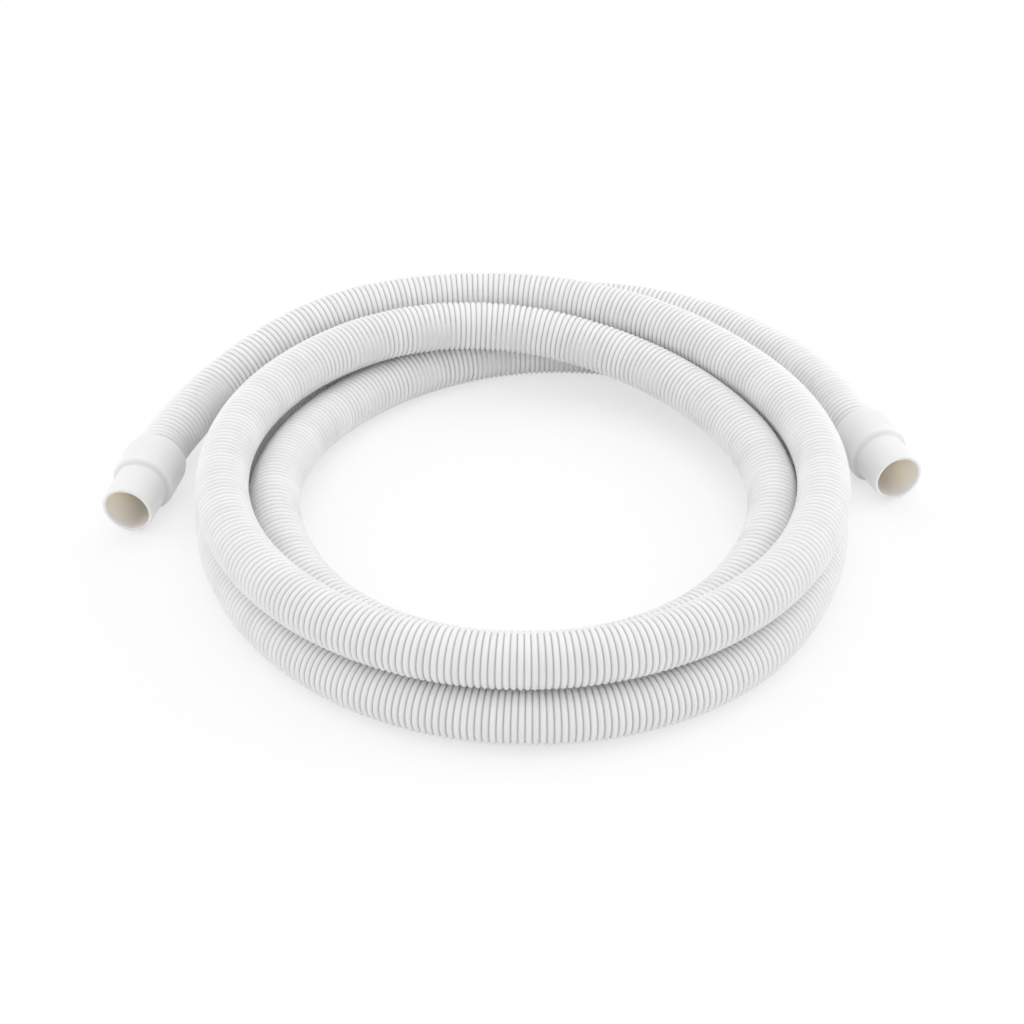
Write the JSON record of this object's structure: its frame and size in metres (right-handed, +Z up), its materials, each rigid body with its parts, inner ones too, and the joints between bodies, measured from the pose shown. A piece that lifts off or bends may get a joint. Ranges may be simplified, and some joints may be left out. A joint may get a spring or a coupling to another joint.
{
  "type": "flexible pvc hose",
  "caption": "Coiled white corrugated PVC drain hose, open end to end, with a moulded stepped cuff on each end that pushes onto a round spigot.",
  "frame": {"origin": "on the floor under the middle of the whole part's outline", "axes": "+Z up, +X to the right cuff, +Y to the back of the coil, where the turns cross; the cuffs' mouths face the front, -Y"},
  "size_m": [0.3796, 0.3556, 0.0494],
  "materials": {
    "hose": "white flexible PVC, satin, corrugated",
    "cuff": "white soft moulded PVC, smooth satin"
  },
  "bodies": {
    "root": {"hose": "hose", "cuff_left": "cuff", "cuff_right": "cuff"}
  },
  "joints": []
}
